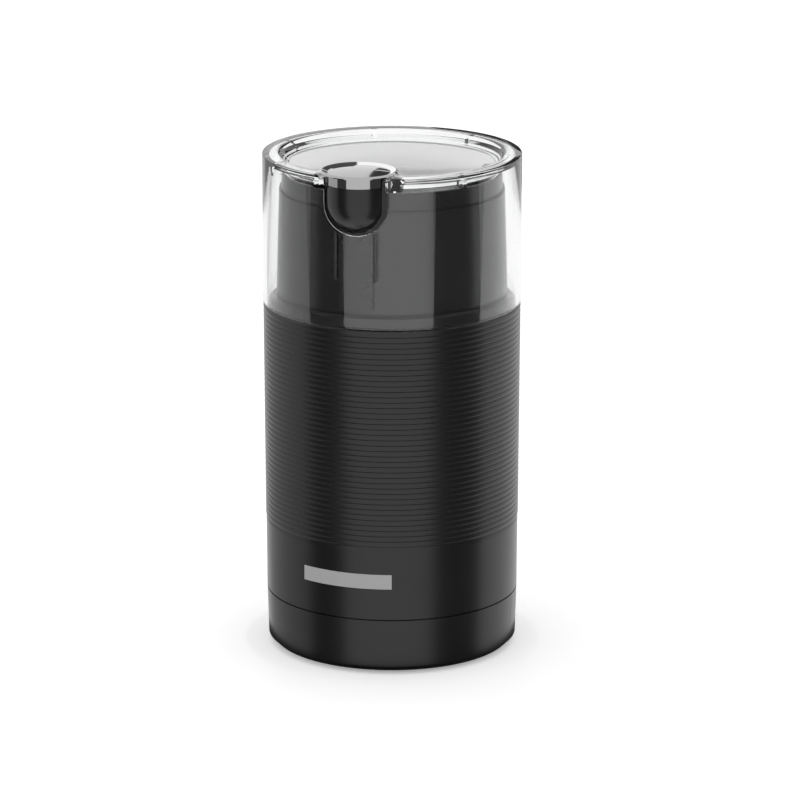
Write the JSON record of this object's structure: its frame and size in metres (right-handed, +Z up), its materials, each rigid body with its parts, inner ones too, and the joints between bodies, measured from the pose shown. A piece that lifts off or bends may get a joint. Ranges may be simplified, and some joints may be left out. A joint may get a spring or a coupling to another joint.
{
  "type": "electric coffee grinder",
  "caption": "Upright cylindrical blade coffee grinder with a ribbed dark body, a clear lift-off lid with a push button in its rim, a steel bowl, a spinning blade and a motor.",
  "frame": {"origin": "on the table plane under the rubber feet, on the motor's axis", "axes": "+Z up along the motor's axis, -Y the front with the button, +Y the back with the lead's gland, +X to the right seen from the front"},
  "size_m": [0.092, 0.0986, 0.1814],
  "materials": {
    "dark_shell": "satin moulded shell",
    "black_plastic": "smooth black",
    "rubber": "matt",
    "zinc_steel": "zinc plated steel",
    "polished_steel": "stainless",
    "bronze": "plain",
    "lamination": "stacked sheet",
    "copper": "enamelled wire and copper bars",
    "carbon": "carbon",
    "inner_plastic": "natural moulding",
    "clear_plastic": "clear moulded plastic",
    "button_plastic": "satin dark grey",
    "dark_chrome": "dark polished plating"
  },
  "bodies": {
    "housing": {"base_cover": "dark_shell", "feet": "rubber", "base_screws": "zinc_steel", "cord_gland": "rubber", "body_shell": "dark_shell", "bowl_collar": "black_plastic", "grinding_bowl": "polished_steel", "bowl_bush": "bronze", "shaft_seal": "rubber", "stator_core": "lamination", "field_coils": "copper", "motor_top_bracket": "zinc_steel", "motor_bottom_bracket": "zinc_steel", "top_bearing": "bronze", "bottom_bearing": "bronze", "motor_bolts": "zinc_steel", "motor_dampers": "rubber", "motor_mount_screws": "zinc_steel", "lower_damper": "rubber", "brush_holders": "bronze", "carbon_brushes": "carbon", "brush_springs": "zinc_steel", "switch_block": "inner_plastic", "switch_screw": "zinc_steel", "fixed_contact": "bronze"},
    "rotor": {"motor_shaft": "zinc_steel", "armature_core": "lamination", "armature_windings": "copper", "commutator": "copper", "cooling_fan": "inner_plastic", "blade_spacer": "polished_steel", "blade": "polished_steel", "blade_nut": "polished_steel"},
    "lid": {"lid": "clear_plastic"},
    "button": {"grind_button": "button_plastic", "button_ring": "dark_chrome", "push_rod": "button_plastic"},
    "switch_pin": {"switch_pin": "black_plastic"},
    "switch_leaf": {"switch_leaf": "bronze"}
  },
  "joints": [
    {"name": "rotor_spin", "type": "hinge", "parent": "housing", "child": "rotor", "pos_m": [0, 0, 0.1], "axis": [0, 0, 1], "continuous": true},
    {"name": "lid_lift", "type": "slide", "parent": "housing", "child": "lid", "axis": [0, 0, 1], "range_m": [0, 0.06]},
    {"name": "button_press", "type": "slide", "parent": "lid", "child": "button", "axis": [0, 0, -1], "range_m": [0, 0.001], "stiffness_N_per_m": 600, "springref_m": -0.003},
    {"name": "pin_slide", "type": "slide", "parent": "housing", "child": "switch_pin", "axis": [0, 0, -1], "range_m": [0, 0.001]},
    {"name": "leaf_bend", "type": "hinge", "parent": "housing", "child": "switch_leaf", "pos_m": [0, -0.0331, 0.11], "axis": [1, 0, 0], "range_deg": [0, 7.2]}
  ],
  "couplings": [
    {"joint": "pin_slide", "follows": "button_press", "ratio": 1},
    {"joint": "leaf_bend", "follows": "button_press", "rad_per_m": 118.34}
  ]
}
